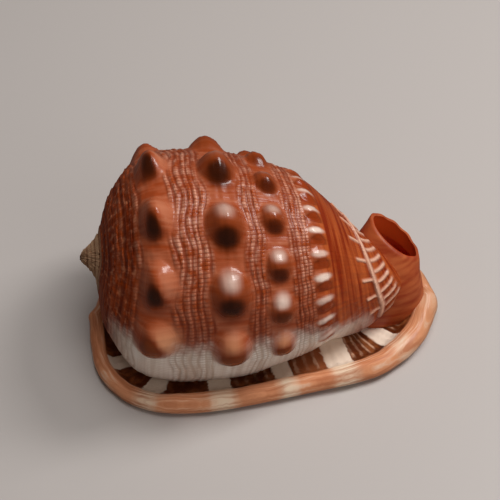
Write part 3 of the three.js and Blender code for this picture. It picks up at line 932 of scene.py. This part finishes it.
    # one strong white line round the neck, crossed on both sides by short pleats
    past = add(calc, [turn, given["pleat slant"], given["pleat span"]], **timesPlus)
    past = add(calc, [span, past], **minus)
    gap = add(calc, [past], operation="ABSOLUTE")
    line = add(ramp, [gap, given["pleat lineHalf"], 0.15], **smooth)
    onward = add(calc, [past, 0.0], operation="MAXIMUM")
    onward = add(calc, [onward, onward], **times)
    start = add(calc, [onward, given["pleat bend"], turn], **timesPlus)
    start = add(calc, [start, given["pleat phase"]], **minus)
    before = add(calc, [past, 0.0], operation="LESS_THAN")
    # fewer pleats on the side of the body
    pitch = add(calc, [before, 0.55, 1.0], **timesPlus)
    pitch = add(calc, [pitch, given["pleat pitch"]], **times)
    step = add(calc, [start, pitch], operation="DIVIDE")
    near = add(calc, [step], operation="ROUND")
    near = add(calc, [step, near], **minus)
    near = add(calc, [near, pitch], **times)
    near = add(calc, [near], operation="RADIANS")
    near = add(calc, [near, reach], **times)
    near = add(calc, [near], operation="ABSOLUTE")
    ridge = add(ramp, [near, given["pleat half"], 0.1], **smooth)
    leftEnd = add(calc, [past, given["pleat left"]], operation="ADD")
    leftEnd = add(ramp, [leftEnd, 0.0, 1.6], **smooth)
    rightEnd = add(calc, [given["pleat right"], past], **minus)
    rightEnd = add(ramp, [rightEnd, 0.0, 2.5], **smooth)
    gapLeft = add(ramp, [gap, 1.2, 2.1], **smooth)
    for share in (leftEnd, rightEnd, gapLeft):
        ridge = add(calc, [ridge, share], **times)
    pleatLift = add(calc, [ridge, given["pleat height"]], **times)
    pleatLift = add(calc, [line, given["pleat lineHeight"], pleatLift], **timesPlus)
    pleat = add(calc, [line, ridge], operation="MAXIMUM")
    pleatEnd = add(ramp, [turn, pleatStop[0], pleatStop[1]], **smooth)
    pleatLift = add(calc, [pleatLift, pleatEnd], **times)
    pleat = add(calc, [pleat, pleatEnd], **times)

    # sutures of the older whorls wind down the spire
    coils = add(calc, [reach, math.e], operation="LOGARITHM")
    coils = add(calc, [coils, 1 / whorl["growth"]], **times)
    angle = add(calc, [turn], operation="RADIANS")
    coils = add(calc, [coils, angle], **minus)
    coils = add(calc, [coils, circle], operation="DIVIDE")
    coils = add(calc, [coils], operation="FRACT")
    hump = add(calc, [coils, math.pi], **times)
    hump = add(calc, [hump], operation="SINE")
    spire = add(ramp, [span, spanAt(14.5), spanAt(11.5)], **smooth)
    spireLift = add(calc, [hump, 0.6], **minus)
    for share in (spire, given["suture"]):
        spireLift = add(calc, [spireLift, share], **times)

    # growth ripples run along the axis, and faint cords run round the shoulder
    ripple = drawnNoise(add, ((span, 20), (turn, 2.5)), Detail=2.0)
    ripple = add(calc, [ripple, 0.5], **minus)
    spiral = drawnNoise(add, ((span, 1 / 0.55), (turn, 50)), Detail=1.0)
    spiral = add(calc, [spiral, 0.5], **minus)
    shoulder = add(ramp, [span, spanAt(27), spanAt(22), 0.25], **smooth)
    for share in (shoulder, shoulderRelief["cords"]):
        spiral = add(calc, [spiral, share], **times)
    lumps = drawnNoise(add, ((span, 3.0), (turn, 6.0)), Detail=1.0)
    lumps = add(calc, [lumps, 0.5], **minus)
    lumps = add(calc, [lumps, shoulder], **times)
    spiral = add(calc, [lumps, shoulderRelief["lumps"], spiral], **timesPlus)
    rippleLift = add(calc, [ripple, spiral], operation="ADD")
    rippleLift = add(calc, [rippleLift, given["ripple"]], **times)

    lift = add(calc, [knobLift, cordLift], operation="ADD")
    for more in (pleatLift, spireLift, rippleLift):
        lift = add(calc, [lift, more], operation="ADD")
    for share in (whorlShare, mm):
        lift = add(calc, [lift, share], **times)
    whorlMove = add(vector, {0: outward, "Scale": lift}, operation="SCALE")

    # the lip is laid down in thin sheets along its rim, and ridges cross its gutter
    height = add("GeometryNodeInputPosition")
    height = add("ShaderNodeSeparateXYZ", [height]).outputs["Z"]
    height = add(calc, [height, 1 / mm], **times)
    around = outlineTotal / circle
    sheet = add(calc, [inset, height], **minus)
    size, thin = lipGrain["sheets"]
    lamina = drawnNoise(add, ((east, size / around), (north, size / around), (sheet, thin)), Detail=3.0)
    lamina = add(calc, [lamina, 0.5], **minus)
    lamina = add(calc, [lamina, given["lamina"]], **times)
    wobble = add(noise, {"Scale": 1 / (11 * mm), "Detail": 1.0}).outputs[0]
    wobble = add(calc, [wobble, 0.5], **minus)
    lamina = add(calc, [wobble, given["wobble"], lamina], **timesPlus)
    cross = add(calc, [north, east], operation="ARCTAN2")
    cross = add(calc, [cross, lip["ridges"]], **times)
    cross = add(calc, [cross], operation="COSINE")
    gutter = add(ramp, [ratio, 0.95, 1.25], **smooth)
    cross = add(calc, [cross, gutter], **times)
    lipLift = add(calc, [cross, given["ridge"], lamina], **timesPlus)
    off = add(ramp, [height, 0.6, 2.2], **smooth)
    normal = add("GeometryNodeInputNormal")
    upward = add("ShaderNodeSeparateXYZ", [normal]).outputs["Z"]
    upward = add(ramp, [upward, -0.6, -0.1])
    for share in (off, upward, lipShare, mm):
        lipLift = add(calc, [lipLift, share], **times)
    lipMove = add(vector, {0: normal, "Scale": lipLift}, operation="SCALE")

    move = add(vector, [whorlMove, lipMove], operation="ADD")
    shape = given["Geometry"]
    marks = {"knobPale": knobPale, "knobDark": knobDark, "knobCover": knobCover, "cordPhase": cordPhase,
             "cordBand": cordBand, "pleat": pleat, "coils": coils}
    for name, value in marks.items():
        shape = add("GeometryNodeStoreNamedAttribute", {"Geometry": shape, "Name": name, "Value": value},
                    data_type="FLOAT", domain="POINT")
    shape = add("GeometryNodeSetPosition", {"Geometry": shape, "Offset": move})
    shape = add("GeometryNodeRealizeInstances", {"Geometry": shape})
    slotIndex = add("GeometryNodeInputMaterialIndex")
    for i, material in enumerate(shellMaterials):
        mine = add("FunctionNodeCompare", {2: slotIndex, 3: i}, data_type="INT", operation="EQUAL")
        shape = add("GeometryNodeSetMaterial", {"Geometry": shape, "Selection": mine, "Material": material})
    add("NodeGroupOutput", {"Geometry": shape})
    return group, {name: float(size) for name, size in sizes.items()}


runGroup(shell, *reliefTree())
shell.data.shade_smooth()
shell.data.set_sharp_from_angle(angle=math.radians(52))
print("relief on", sum(len(face.vertices) - 2 for face in shell.data.polygons), "triangles")
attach(shell, "root")
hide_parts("shell")

# camera fitted to the picture, 500 by 500
view = {"azimuth": -5.446, "elevation": 46.51, "lens": 96.26, "sensor": 36.0,
        "distance": 550.1, "target": (-5.33, -3.68, 40.0)}  # in mm
azimuth, elevation = math.radians(view["azimuth"]), math.radians(view["elevation"])
backWay = Vector((math.sin(azimuth), -math.cos(azimuth), 0.0)) * math.cos(elevation)
backWay.z = math.sin(elevation)
target = Vector((np.array(view["target"]) + rowShift) * mm)
cameraData = bpy.data.cameras.new("camera")
cameraData.lens, cameraData.sensor_width = view["lens"], view["sensor"]
cameraData.clip_start = 0.01
camera = bpy.data.objects.new("camera", cameraData)
camera.location = target + backWay * view["distance"] * mm
camera.rotation_euler = backWay.to_track_quat("Z", "Y").to_euler()
bpy.context.scene.collection.objects.link(camera)
bpy.context.scene.camera = camera

# pale paint put on with a roller: an even matt grey that takes a soft shadow
tableTop, add = newMaterial("matt painted board")
dress(add, {"Base Color": "#c2bab5", "Roughness": 0.45})
floorMesh = bpy.data.meshes.new("floor")
floorMesh.from_pydata([(-3, -3, 0), (3, -3, 0), (3, 3, 0), (-3, 3, 0)], [], [(0, 1, 2, 3)])
floorMesh.materials.append(tableTop)
floor = bpy.data.objects.new("floor", floorMesh)
floor.visible_glossy = False  # keeps the shell's darks warm
bpy.context.scene.collection.objects.link(floor)

# soft light: a pale room, a window lamp on the right, a ceiling lamp and a weak lamp in front
world = bpy.data.worlds.new("room")
world.use_nodes = True
world.node_tree.nodes["Background"].inputs["Color"].default_value = hexColour("#f4ebe2")
world.node_tree.nodes["Background"].inputs["Strength"].default_value = 0.09
bpy.context.scene.world = world
lamps = {"window": ((0.62, 0.2, 0.85), 0.35, 5.6), "ceiling": ((0.15, 0.0, 1.2), 0.7, 6.4),
         "front": ((0.6, -0.9, 0.75), 0.8, 2.5)}  # place and size in metres, power in watts
for name, (place, size, power) in lamps.items():
    lampData = bpy.data.lights.new(name, "AREA")
    lampData.size, lampData.energy = size, power
    lamp = bpy.data.objects.new(name, lampData)
    lamp.location = place
    lamp.visible_glossy = name == "window"  # only the window shows in the gloss
    lamp.rotation_euler = Vector(place).to_track_quat("Z", "Y").to_euler()
    bpy.context.scene.collection.objects.link(lamp)
bpy.context.scene.view_settings.view_transform = "Standard"
print("camera, table and", len(lamps), "lamps in place")
